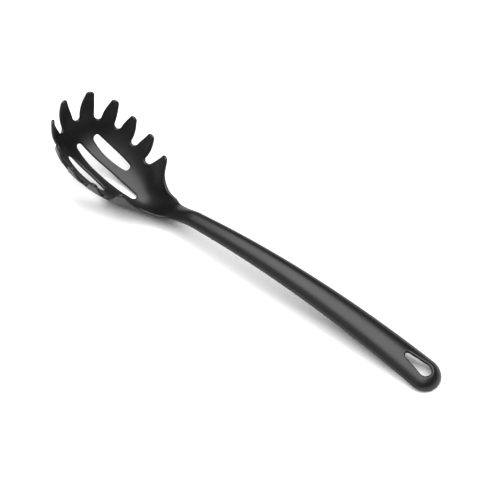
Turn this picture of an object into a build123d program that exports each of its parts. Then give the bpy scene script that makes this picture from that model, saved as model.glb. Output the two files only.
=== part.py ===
from build123d import *
import math
import os

# A one-handed pasta server: a slotted bowl with eleven tines on a long arched handle.
# Millimetres and degrees. +X runs from the bowl to the handle's end, +Y to the left, +Z up.
# The server lies on z = 0, on the underside of its bowl and on the end of its handle.
# Reaches along X are measured from the bowl's deepest line, and centred only at the end.

# Moulded sheet that the bowl, neck and handle share, and the running clearance between pieces.
wall = 2.4
skin_angle_shares = (-1.0, -0.75, -0.5, -0.25, 0.0, 0.25, 0.5, 0.75, 1.0)
clearance = 0.15
foot_flat = 0.25
overrun = 6.0

# Bowl: an egg cut open, as its inside measures at its widest level. It leans back by its tilt.
bowl_half_width = 31.6
bowl_depth = 37.9
bowl_front = 40.2
bowl_rear = 51.4
bowl_floor_rear = 85.3
bowl_tilt = 19.9
bowl_turn = 81.5
rim_height = 14.8
bowl_station_shares = (0.0, 0.14, 0.33, 0.55, 0.78, 1.0)

# Tines: eleven, one at the very front and five down each side, with the lengths of one side
# given from the front tine to the rear one. Angles go round the bowl from the front.
tine_length = 23.6
tine_length_shares = (0.92, 1.0, 0.90, 0.72, 0.75, 0.84)
tine_angles = (0.0, 30.2, 59.7, 89.2, 121.5, 148.8)
gap_angles = (13.9, 41.8, 72.4, 107.9, 138.2)
gap_lift_shares = (0.0, 0.035, 0.01, -0.05, -0.06)
gap_cut_shares = (0.5, 1.6)
tine_tip_radius = 3.2
gap_root_radius = 2.7
tine_lean = 3.0

# Rim behind the last tines, seen from the side: down the tine, round a bend and level to the neck.
rear_rim_height = 12.7
rear_rim_radius = 13.0
rear_rim_run = 5.7

# Slots in the floor of the bowl, from the bowl's deepest line.
centre_slot_front = 20.6
centre_slot_rear = 37.7
centre_slot_width = 7.8
side_slot_front = 16.9
side_slot_rear = 18.2
side_slot_offset = 13.7
side_slot_width = 6.9
slot_end_radius = 2.3

# Neck: the sheet turns over from a bowl to an arch between here and the handle's seam.
neck_start = 42.0
neck_ease = 2.1
neck_station_shares = (0.2, 0.4, 0.6, 0.8, 1.0)
neck_turn_dip = 30.0
lip_run = 0.5

# Handle: an arch-shaped channel that widens to its end, bent along one large arc.
seam_reach = 94.0
crest_reach = 148.0
cap_reach = 284.0
arc_radius = 555.0
seam_half_width = 6.8
cap_half_width = 12.2
seam_rise = 6.7
full_rise = 8.85
fullest_share = 0.7
cap_length = 12.0
handle_station_shares = (0.0, 0.25, 0.5, 0.75, 1.0)

# Hanging hole: a teardrop through the crown with its round end towards the handle's end.
hole_margin = 8.3
hole_length = 20.5
hole_wide_radius = 4.5
hole_narrow_radius = 2.2

# Back strip that closes the channel, and the pins that lock it and the head's tang.
back_inset = 0.4
back_thickness = 2.0
cross_wall_gap = 6.0
tang_length = 34.0
tang_root = 6.0
root_inset_share = 0.75
tang_pin_shares = (0.3, 0.75)
boss_shares = (0.15, 0.5, 0.85)
pin_radius = 1.5
pin_engagement = 2.6
tang_pin_engagement = 1.9
boss_wall = 1.4

os.makedirs("parts", exist_ok=True)


def lean_plane(reach, height, lean):
    """A plane across the part through a point, with its up direction leaning towards the handle."""
    angle = math.radians(lean)
    return Plane(origin=(reach, 0, height), x_dir=(0, 1, 0), z_dir=(math.cos(angle), 0, -math.sin(angle)))


# The sheet's cross section. Its middle line is an arc of an ellipse that rises to the lips for a
# bowl and falls to them for an arch, and it goes on straight for the flare.
def skin_point(half_width, rise, angle, depth):
    """A point of the skin at an angle round the ellipse, pushed below it by a depth."""
    along = Vector(half_width * math.cos(angle), rise * math.sin(angle)).normalized()
    on_skin = Vector(half_width * math.sin(angle), rise * (1 - math.cos(angle)))
    return on_skin + Vector(along.Y, -along.X) * depth, along


def skin_curve(half_width, rise, turn, depth):
    """The whole curved part of one skin, from the right lip's side to the left one."""
    angles = [math.radians(turn) * share for share in skin_angle_shares]
    pairs = [skin_point(half_width, rise, angle, depth) for angle in angles]
    return Spline(*[point for point, _ in pairs], tangents=(pairs[0][1], pairs[-1][1]))


def sheet_section(lip_half_width, lip_rise, turn, flare):
    """The closed outline of the sheet: two skins, two straight flares on each, and two lips."""
    angle = math.radians(turn)
    half_width = lip_half_width / math.sin(angle)
    rise = lip_rise / (1 - math.cos(angle))
    edges = [skin_curve(half_width, rise, turn, 0), skin_curve(half_width, rise, turn, wall)]
    for side in (-1, 1):
        top, along = skin_point(half_width, rise, side * angle, 0)
        bottom, _ = skin_point(half_width, rise, side * angle, wall)
        run = along * flare * side
        edges += [Line(top, top + run), Line(top + run, bottom + run), Line(bottom + run, bottom)]
    return make_face(edges)


# Bowl. In its own frame it stands upright, with the deepest point of its inside at the origin.
tilt = math.radians(bowl_tilt)
sheet_top = rim_height + tine_length + overrun
neck_floor = bowl_depth * (1 - math.sqrt(1 - (neck_start / bowl_floor_rear) ** 2))
bowl_lift = neck_start * math.sin(tilt) - (neck_floor - wall) * math.cos(tilt) - foot_flat
bowl_place = Pos(0, 0, bowl_lift) * Rot(0, bowl_tilt, 0)


def bowl_section_sizes(reach):
    """Half width, rise and floor height of the bowl at a reach behind its deepest point."""
    width_share = math.sqrt(1 - (reach / bowl_rear) ** 2)
    depth_share = math.sqrt(1 - (reach / bowl_floor_rear) ** 2)
    return bowl_half_width * width_share, bowl_depth * depth_share, bowl_depth * (1 - depth_share)


def bowl_flare(rise, floor):
    """How far the bowl's section goes on straight, past its turn, to the sheet's top."""
    turned = floor + rise * (1 - math.cos(math.radians(bowl_turn)))
    return (sheet_top - turned) / math.sin(math.radians(bowl_turn))


def front_half(depth):
    """The front half of the bowl's hollow, or of its outside where the depth is the wall."""
    edges, lips = [skin_curve(bowl_half_width, bowl_depth, bowl_turn, depth)], []
    for side in (-1, 1):
        last, along = skin_point(bowl_half_width, bowl_depth, side * math.radians(bowl_turn), depth)
        lips.append(last + along * side * bowl_flare(bowl_depth, 0))
        edges.append(Line(last, lips[-1]))
    one_side = Pos(bowl_half_width, 0) * Rectangle(2 * bowl_half_width, 4 * sheet_top)
    profile = make_face(edges + [Line(*lips)]) & one_side
    half = revolve(Plane.YZ * profile, Axis.Z, 180)
    return scale(half, by=((bowl_front + depth) / (bowl_half_width + depth), 1, 1))


def bowl_point(reach, height):
    """Where a point of the bowl's own middle plane lies on the part."""
    return (bowl_place * Pos(reach, 0, height)).position


# Handle arc, which the handle's lower edges follow.
def arc_lean(reach):
    return math.degrees(math.asin((reach - crest_reach) / arc_radius))


def arc_drop(reach):
    return arc_radius - math.sqrt(arc_radius**2 - (reach - crest_reach) ** 2)


crest_height = arc_drop(cap_reach) + cap_length * math.sin(math.radians(arc_lean(cap_reach))) - foot_flat


def handle_place(reach):
    """The frame on the handle's lower edge line, with x along the handle and z through its crown."""
    lean = math.radians(arc_lean(reach))
    return Plane(
        origin=(reach, 0, crest_height - arc_drop(reach)),
        x_dir=(math.cos(lean), 0, -math.sin(lean)),
        z_dir=(math.sin(lean), 0, math.cos(lean)),
    ).location


def handle_sizes(share):
    """Reach, half width and rise of the handle's outside at a share of its arched length."""
    reach = seam_reach + (cap_reach - seam_reach) * share
    half_width = seam_half_width + (cap_half_width - seam_half_width) * share
    rise = full_rise - (full_rise - seam_rise) * ((share - fullest_share) / fullest_share) ** 2
    return reach, half_width, rise


def channel_section(half_width, rise, gap, skirt):
    """An arch in the frame's own y and z, drawn in by a gap and carried down by a skirt."""
    across, up = half_width - gap, rise - gap
    angles = [math.radians(90) * share for share in skin_angle_shares]
    points = [Vector(across * math.sin(angle), up * math.cos(angle)) for angle in angles]
    crown = Spline(*points, tangents=(Vector(0, 1), Vector(0, -1)))
    edges = [crown, Line((across, -skirt), (-across, -skirt))]
    if skirt > 0:
        edges += [Line((across, 0), (across, -skirt)), Line((-across, -skirt), (-across, 0))]
    return make_face(edges)


def channel_fill(gap, skirt):
    """The handle's outside as a solid, drawn in all round by a gap."""
    sections = []
    for share in handle_station_shares:
        reach, half_width, rise = handle_sizes(share)
        sections.append(handle_place(reach) * (Plane.YZ * channel_section(half_width, rise, gap, skirt)))
    _, half_width, rise = handle_sizes(1.0)
    quarter = Plane.YZ * channel_section(half_width, rise, gap, skirt)
    quarter &= Pos(0, bowl_half_width / 2, 0) * Box(wall, bowl_half_width, 2 * bowl_depth)
    cap = Rot(0, 0, 180) * revolve(quarter, Axis.Z, 180)
    cap = scale(cap, by=((cap_length - gap) / (half_width - gap), 1, 1))
    return loft(sections) + handle_place(cap_reach) * cap


def along_handle(start, end, low, high):
    """All that lies between two reaches and between two heights over the handle's lower edges."""
    angles = [math.radians(arc_lean(reach)) for reach in (start, (start + end) / 2, end)]
    centre = Vector(crest_reach, crest_height - arc_radius)
    rays = [Vector(math.sin(angle), math.cos(angle)) for angle in angles]
    inner = [centre + ray * (arc_radius + low) for ray in rays]
    outer = [centre + ray * (arc_radius + high) for ray in rays]
    edges = [ThreePointArc(*inner), ThreePointArc(*outer), Line(inner[0], outer[0]), Line(inner[2], outer[2])]
    return extrude(Plane.XZ * make_face(edges), bowl_half_width, both=True)


def upright(reach, radius, low, high):
    """A round bar square to the handle's arc, between two heights over its lower edges."""
    return handle_place(reach) * Pos(0, 0, (low + high) / 2) * Cylinder(radius, high - low)


back_top = back_inset + back_thickness
hole_start = cap_reach + cap_length - hole_margin - hole_length
cross_wall_reach = hole_start - cross_wall_gap
tang_end = seam_reach + tang_length
tang_pin_reaches = [seam_reach + tang_length * share for share in tang_pin_shares]
boss_reaches = [tang_end + (cross_wall_reach - tang_end) * share for share in boss_shares]
pin_top = back_top + clearance + pin_engagement


# Bowl, neck and tang: one moulding.
def neck_height(share, start, end):
    """Height of the neck's spine between two points, which leaves and arrives as its neighbours slope."""
    bowl_slope = bowl_depth * neck_start / bowl_floor_rear**2 / math.sqrt(1 - (neck_start / bowl_floor_rear) ** 2)
    leaving = math.tan(math.atan(bowl_slope) - tilt) * (end.X - start.X)
    arriving = -math.tan(math.radians(arc_lean(seam_reach))) * (end.X - start.X)
    rise = (end.Z - start.Z) * share**2 * (3 - 2 * share)
    return start.Z + rise + leaving * share * (1 - share) ** 2 - arriving * share**2 * (1 - share)


def rear_sheet():
    """The rear half of the bowl and the neck, as one sheet that turns over from bowl to arch."""
    sections = []
    for share in bowl_station_shares:
        reach = neck_start * share
        half_width, rise, floor = bowl_section_sizes(reach)
        place = bowl_point(reach, floor)
        across = half_width * math.sin(math.radians(bowl_turn))
        up = rise * (1 - math.cos(math.radians(bowl_turn)))
        section = sheet_section(across, up, bowl_turn, bowl_flare(rise, floor))
        sections.append(lean_plane(place.X, place.Z, bowl_tilt) * section)
    tall = bowl_flare(rise, floor)
    crown = (handle_place(seam_reach) * Pos(0, 0, seam_rise)).position
    for share in neck_station_shares:
        ease = (1 - share) ** neck_ease
        lip_half_width = seam_half_width + (across - seam_half_width) * ease
        lip_rise = -seam_rise + (up + seam_rise) * ease
        turn = bowl_turn + (90 - bowl_turn) * share - 4 * neck_turn_dip * share * (1 - share)
        point = place + (crown - place) * share
        height = neck_height(share, place, crown)
        lean = bowl_tilt + (arc_lean(seam_reach) - bowl_tilt) * share
        flare = lip_run + (tall - lip_run) * ease**4 * (1 - share)
        section = sheet_section(lip_half_width, lip_rise, turn, flare)
        sections.append(lean_plane(point.X, height, lean) * section)
    return loft(sections)


# Gaps between the tines, cut by wedges that fan out from an upright line inside the bowl. The
# line leans forward in the bowl's frame, because the tines do.
lean = math.radians(tine_lean)
tine_place = bowl_place * Pos(0, 0, rim_height) * Rot(0, -tine_lean, 0)
rim_share = math.sqrt(1 - ((bowl_depth - rim_height) / bowl_depth) ** 2)


def plan_radius(angle, share):
    """Distance from the middle of the bowl to its egg-shaped outline, seen from above."""
    length = bowl_front if angle < 90 else bowl_rear
    turned = math.radians(angle)
    return share / math.hypot(math.cos(turned) / length, math.sin(turned) / bowl_half_width)


def height_over_rim(angle, share, rise):
    """Height in the tines' frame of a point that rises over the tilted rim by a rise."""
    reach = -plan_radius(angle, share) * math.cos(math.radians(angle))
    return rise / math.cos(lean) - reach * math.tan(lean)


def wedge(outline, angle, radius):
    """A wedge through an outline that stands at a radius, from inside the bowl to outside it."""
    turned = math.radians(angle)
    away = Vector(-math.cos(turned), math.sin(turned), 0)
    ends = []
    for share in gap_cut_shares:
        plane = Plane(origin=away * radius * share, x_dir=(-away.Y, away.X, 0), z_dir=away)
        ends.append(tine_place * (plane * outline(share)))
    return loft(ends, ruled=True)


def tine_side(tip, root, spread):
    """Half of a gap's outline, from its root up one tine's side and round to the tine's tip."""
    side = 1 if tip.X > 0 else -1
    shoulder = tip - Vector(side * tine_tip_radius, tine_tip_radius)
    bend = tip - Vector(side * math.sin(math.radians(45)), 1 - math.cos(math.radians(45))) * tine_tip_radius
    squeeze = [Vector(point.X * spread, point.Y) for point in (root, shoulder, bend, tip)]
    return [Line(squeeze[0], squeeze[1]), ThreePointArc(*squeeze[1:])]


def gap_cutter(number):
    """The gap between two tines of one side, counted from the front."""
    angle = gap_angles[number]
    radius = plan_radius(angle, rim_share)
    floor = height_over_rim(angle, rim_share, tine_length * gap_lift_shares[number])
    tips = []
    for tine in (number, number + 1):
        across = radius * math.tan(math.radians(angle - tine_angles[tine]))
        rise = tine_length * tine_length_shares[tine]
        tips.append(Vector(across, height_over_rim(tine_angles[tine], 1.0, rise)))

    def outline(spread):
        roots = [Vector(side * gap_root_radius, floor + gap_root_radius) for side in (1, -1)]
        edges = tine_side(tips[0], roots[0], spread) + tine_side(tips[1], roots[1], spread)
        starts = [Vector(root.X * spread, root.Y) for root in roots]
        edges.append(ThreePointArc(starts[0], Vector(0, floor), starts[1]))
        peaks = [Vector(tip.X * spread, tip.Y) for tip in tips]
        corners = [Vector(peak.X, sheet_top) for peak in peaks]
        edges += [Line(peaks[0], corners[0]), Line(corners[0], corners[1]), Line(corners[1], peaks[1])]
        return make_face(edges)

    return wedge(outline, angle, radius)


def rear_cutter():
    """All that lies over the rim behind the last tines, cut across the bowl."""
    angle = tine_angles[-1]
    reach = -plan_radius(angle, 1.0) * math.cos(math.radians(angle))
    peak = height_over_rim(angle, 1.0, tine_length * tine_length_shares[-1])
    tip = (tine_place * Pos(reach, 0, peak)).position
    flank = tip.X + tine_tip_radius
    bend = flank + rear_rim_radius
    turned = math.sqrt(0.5)
    points = [
        Vector(tip.X, tip.Z),
        Vector(tip.X + tine_tip_radius * turned, tip.Z - tine_tip_radius * (1 - turned)),
        Vector(flank, tip.Z - tine_tip_radius),
        Vector(flank, rear_rim_height + rear_rim_radius),
        Vector(bend - rear_rim_radius * turned, rear_rim_height + rear_rim_radius * (1 - turned)),
        Vector(bend, rear_rim_height),
        Vector(bend + rear_rim_run, rear_rim_height),
        Vector(bend + rear_rim_run, 2 * sheet_top),
        Vector(tip.X, 2 * sheet_top),
    ]
    edges = [ThreePointArc(*points[:3]), Line(*points[2:4]), ThreePointArc(*points[3:6])]
    edges += [Line(*points[5:7]), Line(*points[6:8]), Line(*points[7:9]), Line(points[8], points[0])]
    return extrude(Plane.XZ * make_face(edges), 2 * bowl_half_width, both=True)


def leaf_slot(front, rear, width):
    """A slot with round ends and bowed sides, upright in the bowl's frame."""
    middle = (rear - front) / 2
    ends = (-front + slot_end_radius, rear - slot_end_radius)
    edges = []
    for side in (1, -1):
        corners = [(end, side * slot_end_radius) for end in ends]
        edges.append(ThreePointArc(corners[0], (middle, side * width / 2), corners[1]))
    for end, tip in zip(ends, (-front, rear)):
        edges.append(ThreePointArc((end, slot_end_radius), (tip, 0), (end, -slot_end_radius)))
    return extrude(make_face(edges), 2 * bowl_depth, both=True)


def tang():
    """The head's tongue, which fills the channel over the back strip, and its root in the neck."""
    top = full_rise + overrun
    fits = channel_fill(wall + clearance, 0)
    tongue = fits & along_handle(seam_reach, tang_end, back_top + clearance, top)
    root = handle_place(seam_reach) * (Plane.YZ * channel_section(seam_half_width, seam_rise, wall * root_inset_share, 0))
    back = math.radians(arc_lean(seam_reach))
    root = extrude(root, tang_root, dir=(-math.cos(back), 0, math.sin(back)))
    root &= along_handle(seam_reach - tang_root - overrun, seam_reach, back_top + clearance, top)
    bores = [upright(reach, pin_radius + clearance, 0, top) for reach in tang_pin_reaches]
    return tongue + root - bores


centre_slot = bowl_place * leaf_slot(centre_slot_front, centre_slot_rear, centre_slot_width)
side_slot = leaf_slot(side_slot_front, side_slot_rear, side_slot_width)
side_slot = bowl_place * Pos(0, side_slot_offset, 0) * side_slot
bowl_cutters = [rear_cutter(), centre_slot]
bowl_cutters += [side_slot, mirror(side_slot, Plane.XZ)]
for gap in range(len(gap_angles)):
    cutter = gap_cutter(gap)
    bowl_cutters += [cutter, mirror(cutter, Plane.XZ)]
under_floor = Pos(crest_reach, 0, -bowl_depth / 2) * Box(4 * crest_reach, 4 * bowl_half_width, bowl_depth)
bowl_head = bowl_place * (front_half(wall) - front_half(0)) + rear_sheet() + tang()
bowl_head = bowl_head - (bowl_cutters + [under_floor])


# Handle: a channel, open below, with a cross wall before the hanging hole and bosses in its roof.
def hanging_hole():
    """The teardrop, cut square to the handle where it lies."""
    middle = hole_start + hole_length / 2
    narrow = Pos(-hole_length / 2 + hole_narrow_radius, 0) * Circle(hole_narrow_radius)
    wide = Pos(hole_length / 2 - hole_wide_radius, 0) * Circle(hole_wide_radius)
    outline = make_hull(narrow.edges() + wide.edges())
    return handle_place(middle) * extrude(outline, full_rise + overrun, both=True)


roof = channel_fill(wall / 2, 0)
handle_shell = channel_fill(0, 0) - channel_fill(wall, overrun)
cross_wall = roof & along_handle(cross_wall_reach, cross_wall_reach + wall, 0, full_rise)
boss_radius = pin_radius + clearance + boss_wall
handle_shell += cross_wall
handle_shell += [roof & upright(reach, boss_radius, back_top + clearance, full_rise) for reach in boss_reaches]
sockets = [upright(reach, pin_radius + clearance, 0, pin_top + clearance) for reach in boss_reaches]
handle_shell = handle_shell - (sockets + [hanging_hole(), under_floor])


# Back strip: it closes the channel from the seam to the cross wall, with its pins pressed in.
back_fill = channel_fill(wall + clearance, 0)
back_end = cross_wall_reach - clearance
handle_back = back_fill & along_handle(seam_reach + clearance, back_end, back_inset, back_top)
tang_pin_top = back_top + tang_pin_engagement
handle_back += [upright(reach, pin_radius, back_inset, tang_pin_top) for reach in tang_pin_reaches]
handle_back += [upright(reach, pin_radius, back_inset, pin_top) for reach in boss_reaches]

nodes = {"bowl_head": bowl_head, "handle_shell": handle_shell, "handle_back": handle_back}
box = Compound(list(nodes.values())).bounding_box()
centring = Pos(-(box.min.X + box.max.X) / 2, 0, 0)
for name, shape in nodes.items():
    export_step(centring * shape, f"parts/{name}.step")
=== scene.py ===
import math
import bpy
import numpy as np
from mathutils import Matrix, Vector


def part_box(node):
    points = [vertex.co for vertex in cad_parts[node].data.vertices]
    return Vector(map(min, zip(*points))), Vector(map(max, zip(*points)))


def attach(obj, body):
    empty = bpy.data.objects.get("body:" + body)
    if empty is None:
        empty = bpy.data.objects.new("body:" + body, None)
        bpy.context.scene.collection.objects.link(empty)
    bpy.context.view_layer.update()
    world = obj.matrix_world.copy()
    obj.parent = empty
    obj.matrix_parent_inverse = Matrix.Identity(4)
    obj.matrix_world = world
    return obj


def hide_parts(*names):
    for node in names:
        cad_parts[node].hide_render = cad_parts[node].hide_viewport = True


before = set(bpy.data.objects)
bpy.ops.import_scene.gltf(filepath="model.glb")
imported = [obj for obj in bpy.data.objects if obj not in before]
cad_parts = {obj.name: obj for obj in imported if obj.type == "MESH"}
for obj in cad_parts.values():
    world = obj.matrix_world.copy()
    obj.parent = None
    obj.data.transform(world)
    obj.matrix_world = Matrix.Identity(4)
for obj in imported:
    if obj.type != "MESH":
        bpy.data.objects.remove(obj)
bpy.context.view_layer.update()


# Bowl head: the slotted bowl, its eleven tines and the neck, one moulding in black nylon. It comes
# from the mould as one curved sheet with every edge rounded over, and its tang is pushed into
# the handle. Lengths here are millimetres and angles degrees; the mesh is turned into metres.
wall = 2.4
bowl_half_width = 31.6
bowl_depth = 37.9
bowl_front = 40.2
bowl_rear = 51.4
bowl_floor_rear = 85.3
bowl_tilt = 19.9
bowl_turn = 81.5
rim_height = 14.8
foot_flat = 0.25
tine_length = 23.6
tine_length_shares = np.array([0.92, 1.0, 0.90, 0.72, 0.75, 0.84])
tine_angles = np.array([0.0, 30.2, 59.7, 89.2, 121.5, 148.8])
gap_angles = np.array([13.9, 41.8, 72.4, 107.9, 138.2])
gap_lift_shares = np.array([0.0, 0.035, 0.01, -0.05, -0.06])
tine_tip_radius = 3.2
gap_root_radius = 2.7
tine_lean = 3.0
rear_rim_height = 12.7
rear_rim_radius = 13.0
rear_rim_run = 5.7
centre_slot = (-20.6, 37.7, 0.0, 7.8)
side_slots = ((-16.9, 18.2, 13.7, 6.9), (-16.9, 18.2, -13.7, 6.9))
slot_end_radius = 2.3
neck_start = 42.0
neck_ease = 2.1
neck_turn_dip = 30.0
lip_run = 0.5
seam_reach = 94.0
seam_gap = 0.05
crest_reach = 148.0
cap_reach = 284.0
cap_length = 12.0
arc_radius = 555.0
seam_half_width = 6.8
cap_half_width = 12.2
seam_rise = 6.7
full_rise = 8.85
fullest_share = 0.7
sheet_overrun = 6.0
skin_length = 62.0
front_length = 115.0
cell = 0.75
arc_samples = 64
mm = 0.001
mirror = np.array([1, -1, 1])

# Limits that keep the sums sound: the shortest vector, the smallest area, how near an edge a point of
# the mesh is moved on to it, and how much a distance may be corrected for the slope of the sheet.
no_length = 1e-12
no_area = 1e-9
snap_share = 0.25
least_steep = 0.3
most_steep = 3.0


def radians(angle):
    """Degrees as radians, for one angle or an array."""
    return np.radians(np.asarray(angle, dtype=float))


def unit(vectors):
    """Each vector over its own length."""
    return vectors / np.maximum(np.linalg.norm(vectors, axis=-1, keepdims=True), no_length)


def joined(x, y, z):
    """Points from their three places, spread to a common shape."""
    return np.stack(np.broadcast_arrays(x, y, z), axis=-1)


def skin_section(lip_half_width, lip_rise, turn, flare, share):
    """An arc of an ellipse out to the lip, then a straight flare along its end, by share of length.

    across = half width * sin(angle), up = rise * (1 - cos(angle)); returns across, up and what is left
    to the edge. Rows are sections and columns are shares.
    """
    end = radians(turn)
    half_width = lip_half_width / np.sin(end)
    rise = lip_rise / (1 - np.cos(end))
    steps = (np.arange(arc_samples) + 0.5) / arc_samples
    speed = np.hypot(half_width * np.cos(end * steps), rise * np.sin(end * steps))
    arc = speed.mean(axis=1, keepdims=True) * end
    run = share * (arc + flare)
    angle = end * np.minimum(run / arc, 1)
    straight = np.maximum(run - arc, 0)
    slope = np.hypot(half_width * np.cos(end), rise * np.sin(end))
    across = half_width * np.sin(angle) + straight * half_width * np.cos(end) / slope
    up = rise * (1 - np.cos(angle)) + straight * rise * np.sin(end) / slope
    return across, up, arc + flare - run


tilt = math.radians(bowl_tilt)
lip_turn = math.radians(bowl_turn)
lip_width = bowl_half_width * math.sin(lip_turn)
lip_height = bowl_depth * (1 - math.cos(lip_turn))
sheet_top = rim_height + tine_length + sheet_overrun
neck_floor = bowl_depth * (1 - math.sqrt(1 - (neck_start / bowl_floor_rear) ** 2))
bowl_lift = neck_start * math.sin(tilt) - (neck_floor - wall) * math.cos(tilt) - foot_flat


def arc_lean(reach):
    """How far the handle's arc leans at a reach, in radians."""
    return np.arcsin((reach - crest_reach) / arc_radius)


def arc_drop(reach):
    """How far the handle's arc lies below its crest at a reach."""
    return arc_radius * (1 - np.cos(arc_lean(reach)))


crest_height = arc_drop(cap_reach) + cap_length * math.sin(arc_lean(cap_reach)) - foot_flat
end_reach = cap_reach + cap_length * math.cos(arc_lean(cap_reach))
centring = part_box("handle_shell")[1].x / mm - end_reach


def bowl_to_part(reach, across, height):
    """The bowl's own frame, tilted back and lifted on to the floor."""
    x = reach * math.cos(tilt) + height * math.sin(tilt)
    z = bowl_lift - reach * math.sin(tilt) + height * math.cos(tilt)
    return joined(x, across, z)


def bowl_rows(share):
    """Rows over the bowl behind its deepest line: arcs that shrink along an egg towards the neck."""
    reach = np.arange(0, neck_start, cell)[:, None]
    width_share = np.sqrt(1 - (reach / bowl_rear) ** 2)
    depth_share = np.sqrt(1 - (reach / bowl_floor_rear) ** 2)
    floor = bowl_depth * (1 - depth_share)
    lip_rise = lip_height * depth_share
    flare = (sheet_top - floor - lip_rise) / math.sin(lip_turn)
    turn = np.full_like(reach, bowl_turn)
    across, up, left = skin_section(lip_width * width_share, lip_rise, turn, flare, share)
    return bowl_to_part(reach, across, floor + up), left


def neck_rows(share):
    """Rows over the neck, eased from the last row of the bowl to the handle's arch.

    Width and rise fall by (1 - way) ** neck_ease. The spine is a cubic that leaves along the bowl's
    floor and arrives along the handle's arc.
    """
    start = bowl_to_part(neck_start, 0.0, neck_floor)
    seam_lean = arc_lean(seam_reach)
    seam_edge = np.array([seam_reach, 0, crest_height - arc_drop(seam_reach)])
    crown = seam_edge + seam_rise * np.array([math.sin(seam_lean), 0, math.cos(seam_lean)])
    way = np.linspace(0, 1, int((seam_reach - neck_start) / cell))[:, None]
    ease = (1 - way) ** neck_ease
    last_half = lip_width * math.sqrt(1 - (neck_start / bowl_rear) ** 2)
    last_rise = lip_height * math.sqrt(1 - (neck_start / bowl_floor_rear) ** 2)
    tall = (sheet_top - neck_floor - last_rise) / math.sin(lip_turn)
    lip_half = seam_half_width + (last_half - seam_half_width) * ease
    lip_rise = lip_run - seam_rise + (last_rise + seam_rise - lip_run) * ease
    turn = bowl_turn + (90 - bowl_turn) * way - 4 * neck_turn_dip * way * (1 - way)
    flare = lip_run + (tall - lip_run) * ease**4 * (1 - way)
    across, up, left = skin_section(lip_half, lip_rise, turn, flare, share)
    lean = tilt + (seam_lean - tilt) * way
    x = start[0] + (crown[0] - start[0]) * way
    bowl_slope = bowl_depth * neck_start / bowl_floor_rear**2 / (1 - neck_floor / bowl_depth)
    leaving = math.tan(math.atan(bowl_slope) - tilt) * (crown[0] - start[0])
    arriving = -math.tan(seam_lean) * (crown[0] - start[0])
    rise = (crown[2] - start[2]) * way**2 * (3 - 2 * way)
    z = start[2] + rise + leaving * way * (1 - way) ** 2 - arriving * way**2 * (1 - way)
    return joined(x + up * np.sin(lean), across, z + up * np.cos(lean)), left


def front_rows(share):
    """Rows that fan round the front of the bowl, from its right side to its left."""
    around = np.linspace(-90, 90, int(front_length / cell))[1:-1, None]
    half = np.full_like(around, lip_width)
    rise = np.full_like(around, lip_height)
    flare = (sheet_top - rise) / math.sin(lip_turn)
    across, up, left = skin_section(half, rise, np.full_like(around, bowl_turn), flare, share)
    ahead = -across * np.cos(radians(around)) * bowl_front / bowl_half_width
    return bowl_to_part(ahead, across * np.sin(radians(around)), up), left


def head_sheet():
    """The head's upper skin as rows from its spine out to its edge, and what is left to the edge.

    Rows run from the seam to the bowl on the right, fan round its front, and run back on the left.
    The last value is how many rows a side has.
    """
    share = np.linspace(0, 1, int(skin_length / cell))[None, :]
    bowl, bowl_left = bowl_rows(share)
    neck, neck_left = neck_rows(share)
    front, front_left = front_rows(share)
    side = np.concatenate([bowl, neck[1:]])
    side_left = np.concatenate([bowl_left, neck_left[1:]])
    skin = np.concatenate([side[::-1] * mirror, front, side])
    return skin, np.concatenate([side_left[::-1], front_left, side_left]), len(side)


def plan_radius(angle, share):
    """Distance from the middle of the bowl to its egg-shaped outline, seen from above."""
    length = np.where(angle < 90, bowl_front, bowl_rear)
    turned = radians(angle)
    return share / np.hypot(np.cos(turned) / length, np.sin(turned) / bowl_half_width)


def height_over_rim(angle, share, rise):
    """Height in the tines' frame of a point that rises over the tilted rim by a rise."""
    reach = -plan_radius(angle, share) * np.cos(radians(angle))
    return rise / math.cos(radians(tine_lean)) - reach * math.tan(radians(tine_lean))


def rear_distance(points):
    """Distance inside the rim behind the last tines, seen from the side.

    It runs round the tine's tip, straight down its rear flank, round a quarter bend and level to
    the neck, past which the sheet's own edge is lower.
    """
    last = tine_angles[-1]
    reach = -plan_radius(last, 1.0) * math.cos(radians(last))
    peak = height_over_rim(last, 1.0, tine_length * tine_length_shares[-1])
    leaned = tilt - radians(tine_lean)
    foot = bowl_to_part(0.0, 0.0, rim_height)
    tip_x = foot[0] + reach * math.cos(leaned) + peak * math.sin(leaned)
    tip_z = foot[2] - reach * math.sin(leaned) + peak * math.cos(leaned) - tine_tip_radius
    flank = tip_x + tine_tip_radius
    x, z = points[..., 0], points[..., 2]
    by_tip = (z > tip_z) & (x > tip_x)
    inside = np.where(by_tip, tine_tip_radius - np.hypot(x - tip_x, z - tip_z), flank - x)
    bend = np.hypot(x - flank - rear_rim_radius, z - rear_rim_height - rear_rim_radius) - rear_rim_radius
    in_bend = (z < rear_rim_height + rear_rim_radius) & (x < flank + rear_rim_radius)
    inside = np.where(in_bend, bend, inside)
    past = np.maximum(x - flank - rear_rim_radius - rear_rim_run, 0)
    level = rear_rim_height + past - z
    return np.where(x < flank + rear_rim_radius, inside, level)


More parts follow.
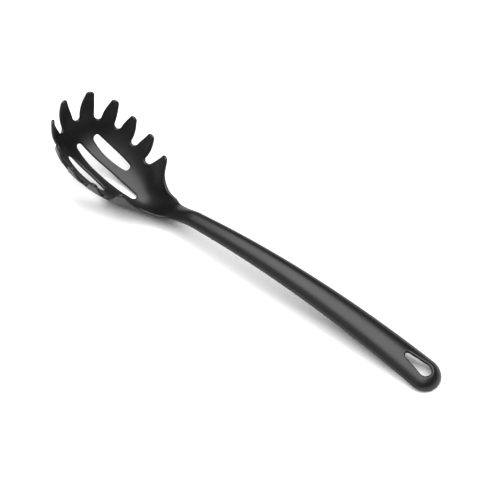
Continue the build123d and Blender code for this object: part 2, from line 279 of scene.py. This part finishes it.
def tine_distance(points):
    """Distance inside the outline of the tines and the gaps between them, on the unrolled sheet.

    A tine is a round tip over straight sides that spread to its base; a gap has a round root.
    """
    leaned = tilt - radians(tine_lean)
    foot = bowl_to_part(0.0, 0.0, rim_height)
    x = (points[..., 0] - foot[0]) * math.cos(leaned) - (points[..., 2] - foot[2]) * math.sin(leaned)
    z = (points[..., 0] - foot[0]) * math.sin(leaned) + (points[..., 2] - foot[2]) * math.cos(leaned)
    y = np.abs(points[..., 1])
    radius = np.hypot(x, y)
    around = np.degrees(np.arctan2(y, -x))
    gap = np.clip(np.searchsorted(tine_angles, around) - 1, 0, len(gap_angles) - 1)
    tine = np.where(around < gap_angles[gap], gap, gap + 1)
    rim_share = math.sqrt(1 - ((bowl_depth - rim_height) / bowl_depth) ** 2)
    roots = height_over_rim(gap_angles, rim_share, tine_length * gap_lift_shares) + gap_root_radius
    tips = height_over_rim(tine_angles, 1.0, tine_length * tine_length_shares) - tine_tip_radius
    root, tip = roots[gap], tips[tine]
    aside = radius * np.abs(radians(around - tine_angles[tine]))
    base = radius * np.abs(radians(gap_angles[gap] - tine_angles[tine])) - gap_root_radius
    down = np.clip((tip - z) / (tip - root), 0, 1)
    side = tine_tip_radius + (base - tine_tip_radius) * down - aside
    side = np.where(z > tip, tine_tip_radius - np.hypot(aside, z - tip), side)
    in_root = np.hypot(radius * radians(around - gap_angles[gap]), z - root) - gap_root_radius
    between = np.where(z < root, in_root, side)
    far_inside = np.full_like(between, bowl_half_width)
    between = np.where(around > tine_angles[-1], far_inside, between)
    return np.minimum(between, rear_distance(points))


def slot_distance(points, slot):
    """Distance outside a leaf with round ends, upright in the bowl's frame."""
    front, rear, offset, width = slot
    reach = points[..., 0] * math.cos(tilt) - (points[..., 2] - bowl_lift) * math.sin(tilt)
    long_half = (rear - front) / 2 - slot_end_radius
    wide_half = width / 2 - slot_end_radius
    x = np.abs(reach - (front + rear) / 2)
    y = np.abs(points[..., 1] - offset)
    bow = (long_half**2 + wide_half**2) / (2 * wide_half)
    beyond = (x - long_half) * (bow - wide_half) > y * long_half
    flank = np.hypot(x, y + bow - wide_half) - bow
    return np.where(beyond, np.hypot(x - long_half, y), flank) - slot_end_radius


def on_surface(points, distance):
    """A distance field made true along the surface, and the way in which it falls."""
    by_row, by_column = np.gradient(points, axis=0), np.gradient(points, axis=1)
    falls_row, falls_column = np.gradient(distance, axis=0), np.gradient(distance, axis=1)
    rr = (by_row * by_row).sum(-1)
    rc = (by_row * by_column).sum(-1)
    cc = (by_column * by_column).sum(-1)
    whole = rr * cc - rc**2 + no_area
    row_part = (cc * falls_row - rc * falls_column) / whole
    column_part = (rr * falls_column - rc * falls_row) / whole
    slope = row_part[..., None] * by_row + column_part[..., None] * by_column
    steep = np.linalg.norm(slope, axis=-1)
    return distance / np.clip(steep, least_steep, most_steep), -unit(slope)


def sheet_normals(points):
    """The side of the sheet that faces up at its spine."""
    normals = unit(np.cross(np.gradient(points, axis=0), np.gradient(points, axis=1)))
    normals[:, 0, 1] = 0
    normals = unit(normals)
    return normals * np.sign(normals[:, 0, 2].sum())


def cut_sheet(inside, triangles):
    """Triangles of the part of a surface where a value is over zero, with points put in on its edges.

    Each triangle is turned until it matches one of four cases. Points are named by the two
    corners that they lie between.
    """
    sign = np.sign(inside).astype(int)
    kept = [triangles[(sign[triangles] >= 0).all(1) & (sign[triangles] > 0).any(1)]]
    kept = [np.stack([kept[0], kept[0]], axis=-1)]
    cases = (
        ((1, -1, -1), ((0, 0), (0, 1), (0, 2))),
        ((1, 1, -1), ((0, 0), (1, 1), (1, 2), (0, 2))),
        ((1, 0, -1), ((0, 0), (1, 1), (0, 2))),
        ((1, -1, 0), ((0, 0), (0, 1), (2, 2))),
    )
    for turn in range(3):
        turned = np.roll(triangles, turn, axis=1)
        for signs, corners in cases:
            match = turned[(sign[turned] == signs).all(1)]
            loop = np.stack([match[:, corner] for corner in corners], axis=1)
            for third in range(2, len(corners)):
                kept.append(loop[:, [0, third - 1, third]])
    pairs = np.sort(np.concatenate(kept), axis=-1)
    names, index = np.unique(pairs.reshape(-1, 2), axis=0, return_inverse=True)
    return names, index.reshape(-1, 3)


def mesh_piece(name, points, faces, sharp=40.0):
    """A piece from points in millimetres of the part's build frame and triangles of their indices.

    No point goes below the floor, which a rounded edge would pass by a hair.
    """
    mesh = bpy.data.meshes.new(name)
    placed = (points + np.array([centring, 0, 0])) * mm
    placed[:, 2] = np.maximum(placed[:, 2], 0)
    mesh.vertices.add(len(placed))
    mesh.vertices.foreach_set("co", placed.astype(np.float32).ravel())
    mesh.loops.add(faces.size)
    mesh.loops.foreach_set("vertex_index", faces.astype(np.int32).ravel())
    mesh.polygons.add(len(faces))
    mesh.polygons.foreach_set("loop_start", np.arange(0, faces.size, 3, dtype=np.int32))
    mesh.polygons.foreach_set("use_smooth", np.ones(len(faces), dtype=bool))
    mesh.update(calc_edges=True)
    mesh.validate()
    mesh.set_sharp_from_angle(angle=math.radians(sharp))
    piece = bpy.data.objects.new(name, mesh)
    bpy.context.scene.collection.objects.link(piece)
    return piece


def trim_sheet(skin, distances, half, spine):
    """The middle surface of a sheet, cut a half wall inside every outline.

    It returns points, normals, the ways out past the edge, and triangles that face up. The spine
    says how many rows at each end share their first point with a row of the other end.
    """
    normals = sheet_normals(skin)
    middle = skin - normals * half
    fields = [on_surface(middle, distance) for distance in distances]
    nearest = np.argmin([field[0] for field in fields], axis=0)
    inside = np.choose(nearest, [field[0] for field in fields]) - half
    outward = np.choose(nearest[..., None], [field[1] for field in fields])
    rows, columns = inside.shape
    snap = np.abs(inside) < snap_share * cell
    middle = np.where(snap[..., None], middle + outward * inside[..., None], middle)
    inside = np.where(snap, 0.0, inside)
    number = np.arange(rows * columns).reshape(rows, columns)
    number[rows - spine :, 0] = number[:spine, 0][::-1]
    a, b, c, d = number[:-1, :-1], number[1:, :-1], number[1:, 1:], number[:-1, 1:]
    triangles = np.concatenate([np.stack(t, axis=-1).reshape(-1, 3) for t in ((a, b, c), (a, c, d))])
    triangles = triangles[(triangles[:, 0] != triangles[:, 1]) & (triangles[:, 1] != triangles[:, 2])]
    flat = [values.reshape(rows * columns, -1) for values in (middle, normals, outward)]
    value = inside.ravel()
    names, faces = cut_sheet(value, triangles)
    low, high = names.T
    spread = np.where(low == high, 1.0, value[low] - value[high])
    part = np.where(low == high, 0.0, value[low] / spread)[:, None]
    point, normal, out = [values[low] + (values[high] - values[low]) * part for values in flat]
    normal, out = unit(normal), unit(out)
    out = unit(out - normal * (out * normal).sum(-1, keepdims=True))
    # The first and last rows are cut square, because they meet the next piece.
    at_end = np.isin(low, number[[0, -1]]) & np.isin(high, number[[0, -1]])
    out[at_end & (value[low] > 0) & (low == high)] = 0
    first = point[faces]
    face_normal = np.cross(first[:, 1] - first[:, 0], first[:, 2] - first[:, 0])
    if (face_normal * normal[faces[:, 0]]).sum() < 0:
        faces = faces[:, ::-1]
    return point, normal, out, faces


def thick_sheet(name, skin, distances, half, spine, edge_steps=8):
    """A moulded sheet with round edges from its upper skin and the distances inside its outlines.

    Its two skins lie a half wall either side of the trimmed middle surface, and a half circle is
    swept along each edge.
    """
    point, normal, out, faces = trim_sheet(skin, distances, half, spine)
    edges = np.concatenate([faces[:, [0, 1]], faces[:, [1, 2]], faces[:, [2, 0]]])
    _, where, count = np.unique(np.sort(edges, axis=1), axis=0, return_index=True, return_counts=True)
    rim = edges[where[count == 1]]
    on_rim = np.unique(rim)
    place = np.full(len(point), -1)
    place[on_rim] = np.arange(len(on_rim))
    total = len(point)
    points = [point + normal * half, point - normal * half]
    rings = [np.arange(total)]
    for step in range(1, edge_steps):
        turned = math.pi * step / edge_steps
        round_way = normal[on_rim] * math.cos(turned) + out[on_rim] * math.sin(turned)
        points.append(point[on_rim] + half * round_way)
        rings.append(2 * total + (step - 1) * len(on_rim) + place)
    rings.append(np.arange(total) + total)
    start, end = rim.T
    strips = []
    for upper, lower in zip(rings[:-1], rings[1:]):
        strips.append(np.stack([upper[end], upper[start], lower[start]], axis=-1))
        strips.append(np.stack([upper[end], lower[start], lower[end]], axis=-1))
    return mesh_piece(name, np.concatenate(points), np.concatenate([faces, faces[:, ::-1] + total] + strips))


head_skin, head_left, head_spine = head_sheet()
head_middle = head_skin - sheet_normals(head_skin) * wall / 2
head_outlines = [head_left, tine_distance(head_middle), slot_distance(head_middle, centre_slot)]
head_outlines += [slot_distance(head_middle, slot) for slot in side_slots]
head = thick_sheet("bowl_and_neck", head_skin, head_outlines, wall / 2, head_spine)
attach(head, "root")
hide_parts("bowl_head")


# Handle: an arched channel in the same black nylon, open below, moulded with the teardrop hanging
# hole. The neck's tang fills its front end, so the two read as one piece from above.
hole_margin = 8.3
hole_length = 20.5
hole_wide_radius = 4.5
hole_narrow_radius = 2.2
cap_ease = 0.2
arch_half_length = 23.8
cap_round_length = 38.0


def handle_sheet():
    """The handle's upper skin as rows from its crown out to its lower edge, round the cap and back.

    Each row is a quarter of an ellipse. The cap is the last of them turned about its upright axis
    and stretched to the cap's length, less an ease that keeps its rounded edge inside the solid.
    """
    share = np.linspace(0, 1, int(arch_half_length / cell))[None, :]
    way = np.linspace(0, 1, int((cap_reach - seam_reach) / cell))[:, None]
    reach = seam_reach + seam_gap + (cap_reach - seam_reach - seam_gap) * way
    half_width = seam_half_width + (cap_half_width - seam_half_width) * way
    rise = full_rise - (full_rise - seam_rise) * ((way - fullest_share) / fullest_share) ** 2
    across, up, left = skin_section(half_width, -rise, np.full_like(way, 90.0), 0.0, share)
    lean = arc_lean(reach)
    height = crest_height - arc_drop(reach)
    up = rise + up
    side = joined(reach + up * np.sin(lean), across, height + up * np.cos(lean))
    turned = radians(np.linspace(0, 180, int(cap_round_length / cell))[1:-1, None])
    ahead = across[-1] * np.sin(turned) * (cap_length - cap_ease) / cap_half_width
    last = lean[-1, 0]
    cap = joined(
        cap_reach + ahead * math.cos(last) + up[-1] * math.sin(last),
        across[-1] * np.cos(turned),
        height[-1, 0] - ahead * math.sin(last) + up[-1] * math.cos(last),
    )
    cap_left = np.repeat(left[-1:], len(turned), axis=0)
    skin = np.concatenate([side, cap, side[::-1] * mirror])
    return skin, np.concatenate([left, cap_left, left[::-1]]), len(side)


def hole_distance(points):
    """Distance outside a teardrop of two circles and their tangents, square to the handle there."""
    middle = cap_reach + cap_length - hole_margin - hole_length / 2
    lean = arc_lean(middle)
    x = (points[..., 0] - middle) * math.cos(lean)
    x = x - (points[..., 2] - (crest_height - arc_drop(middle))) * math.sin(lean)
    along = hole_length / 2 - hole_wide_radius - x
    y = np.abs(points[..., 1])
    span = hole_length - hole_wide_radius - hole_narrow_radius
    slant = (hole_wide_radius - hole_narrow_radius) / span
    cosine = math.sqrt(1 - slant**2)
    measure = along * cosine - y * slant
    flank = y * cosine + along * slant - hole_wide_radius
    wide = np.hypot(along, y) - hole_wide_radius
    narrow = np.hypot(along - span, y) - hole_narrow_radius
    return np.where(measure < 0, wide, np.where(measure > cosine * span, narrow, flank))


handle_skin, handle_left, handle_spine = handle_sheet()
handle_middle = handle_skin - sheet_normals(handle_skin) * wall / 2
# The last outline is the floor that the handle's end rests on.
handle_outlines = [handle_left, hole_distance(handle_middle), handle_middle[..., 2]]
handle = thick_sheet("handle_body", handle_skin, handle_outlines, wall / 2, handle_spine)
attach(handle, "root")
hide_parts("handle_shell")


# Black glass-filled nylon, injection-moulded: near black with a satin skin whose fine grain comes
# from the mould. It shows as soft, wide highlights and pale reflections of a pale surface.
nylon_black = "#080808"
nylon_ior = 1.53
nylon_roughness = 0.4
grain_width = 0.35
grain_depth = 0.08
grain_strength = 0.12
grain_detail = 3.0
wear_width = 22.0
wear_detail = 4.0
wear_start = 0.3
wear_end = 0.7
wear_change = 0.03


def linear(hex_colour):
    """An sRGB hex value as a linear colour."""
    values = [int(hex_colour[i : i + 2], 16) / 255 for i in (1, 3, 5)]
    return [v / 12.92 if v <= 0.04045 else ((v + 0.055) / 1.055) ** 2.4 for v in values] + [1.0]


def add(tree, kind, links=None, **settings):
    """A node with its settings and its links, given as socket names to the sockets that feed them."""
    node = tree.nodes.new(kind)
    for key, setting in settings.items():
        setattr(node, key, setting)
    for socket, source in (links or {}).items():
        target = node.inputs[socket]
        if isinstance(source, bpy.types.NodeSocket):
            tree.links.new(source, target)
        else:
            target.default_value = source
    return node


def moulded_nylon(name):
    """Satin moulded nylon: mould grain in the bump, faint wear in the roughness."""
    material = bpy.data.materials.new(name)
    material.use_nodes = True
    tree = material.node_tree
    tree.nodes.clear()
    place = add(tree, "ShaderNodeTexCoord").outputs["Object"]
    grain_scale, wear_scale = 1 / (grain_width * mm), 1 / (wear_width * mm)
    grain = add(tree, "ShaderNodeTexNoise", {"Vector": place, "Scale": grain_scale, "Detail": grain_detail})
    patches = add(tree, "ShaderNodeTexNoise", {"Vector": place, "Scale": wear_scale, "Detail": wear_detail})
    worn = add(
        tree,
        "ShaderNodeMapRange",
        {"Value": patches.outputs["Fac"], "From Min": wear_start, "From Max": wear_end,
         "To Min": nylon_roughness - wear_change, "To Max": nylon_roughness + wear_change},
    )
    bump = add(
        tree,
        "ShaderNodeBump",
        {"Height": grain.outputs["Fac"], "Strength": grain_strength, "Distance": grain_depth * mm},
    )
    shader = add(
        tree,
        "ShaderNodeBsdfPrincipled",
        {"Base Color": linear(nylon_black), "IOR": nylon_ior, "Roughness": worn.outputs["Result"],
         "Normal": bump.outputs["Normal"]},
    )
    add(tree, "ShaderNodeOutputMaterial", {"Surface": shader.outputs["BSDF"]})
    return material


nylon = moulded_nylon("black_moulded_nylon")
for piece in (head, handle):
    piece.data.materials.append(nylon)
for slot in bpy.data.objects["handle_back"].material_slots:
    slot.material = nylon


# Studio: a white paper sweep under one large soft light overhead and a weak one on the near side, and
# the camera of the photograph. The floor and the air are white to the camera; the floor keeps its
# shadow. Lights and paper are in metres, the camera's place in millimetres.
focal_pixels = 1326
photo_pixels = 480
sensor_width = 36.0
view_down = 49.574
view_round = 38.744
camera_place = (497.15 + centring, -454.09, 709.54)
softbox_place = (0.05, 0.0, 1.5)
softbox_target = (0.05, 0.0, 0.0)
softbox_size = (2.6, 2.3)
softbox_watts = 70
fill_place = (-0.3, -1.5, 0.7)
fill_target = (0.0, 0.0, 0.0)
fill_size = (1.6, 0.8)
fill_watts = 3
floor_half = 1.3
floor_drop = 0.0001
paper_white = 0.8
dim_air = 0.01


def area_light(name, place, target, size, power):
    """A soft rectangular light that looks at a point."""
    light = bpy.data.lights.new(name, "AREA")
    light.shape = "RECTANGLE"
    light.size, light.size_y = size
    light.energy = power
    lamp = bpy.data.objects.new(name, light)
    lamp.location = place
    lamp.rotation_euler = (Vector(target) - Vector(place)).to_track_quat("-Z", "Y").to_euler()
    bpy.context.scene.collection.objects.link(lamp)


area_light("overhead_softbox", softbox_place, softbox_target, softbox_size, softbox_watts)
area_light("near_fill", fill_place, fill_target, fill_size, fill_watts)

world = bpy.data.worlds.new("studio_air")
world.use_nodes = True
air = world.node_tree
air.nodes.clear()
seen = add(air, "ShaderNodeLightPath").outputs["Is Camera Ray"]
bright = add(air, "ShaderNodeMapRange", {"Value": seen, "To Min": dim_air, "To Max": 1.0}).outputs["Result"]
backdrop = add(air, "ShaderNodeBackground", {"Color": linear("#ffffff"), "Strength": bright})
add(air, "ShaderNodeOutputWorld", {"Surface": backdrop.outputs["Background"]})
bpy.context.scene.world = world

# Matt white paper, a little brighter to the camera so that its lit part is plain white.
paper = bpy.data.materials.new("white_sweep_paper")
paper.use_nodes = True
tree = paper.node_tree
tree.nodes.clear()
seen = add(tree, "ShaderNodeLightPath").outputs["Is Camera Ray"]
lit = add(tree, "ShaderNodeMapRange", {"Value": seen, "To Min": paper_white, "To Max": 1.0})
white = lit.outputs["Result"]
colour = add(tree, "ShaderNodeCombineColor", {"Red": white, "Green": white, "Blue": white}).outputs["Color"]
matt = add(tree, "ShaderNodeBsdfDiffuse", {"Color": colour})
add(tree, "ShaderNodeOutputMaterial", {"Surface": matt.outputs["BSDF"]})

sweep_mesh = bpy.data.meshes.new("white_sweep")
corners = [(x * floor_half, y * floor_half, 0) for x, y in ((-1, -1), (1, -1), (1, 1), (-1, 1))]
sweep_mesh.from_pydata(corners, [], [(0, 1, 2, 3)])
sweep_mesh.materials.append(paper)
sweep = bpy.data.objects.new("white_sweep", sweep_mesh)
sweep.location.z = -floor_drop
bpy.context.scene.collection.objects.link(sweep)

scene = bpy.context.scene
view = bpy.data.cameras.new("photo_view")
view.sensor_width = sensor_width
view.lens = sensor_width * focal_pixels / photo_pixels
camera = bpy.data.objects.new("photo_view", view)
camera.location = [length * mm for length in camera_place]
camera.rotation_euler = (math.radians(90 - view_down), 0.0, math.radians(view_round))
scene.collection.objects.link(camera)
scene.camera = camera
scene.view_settings.view_transform = "Standard"
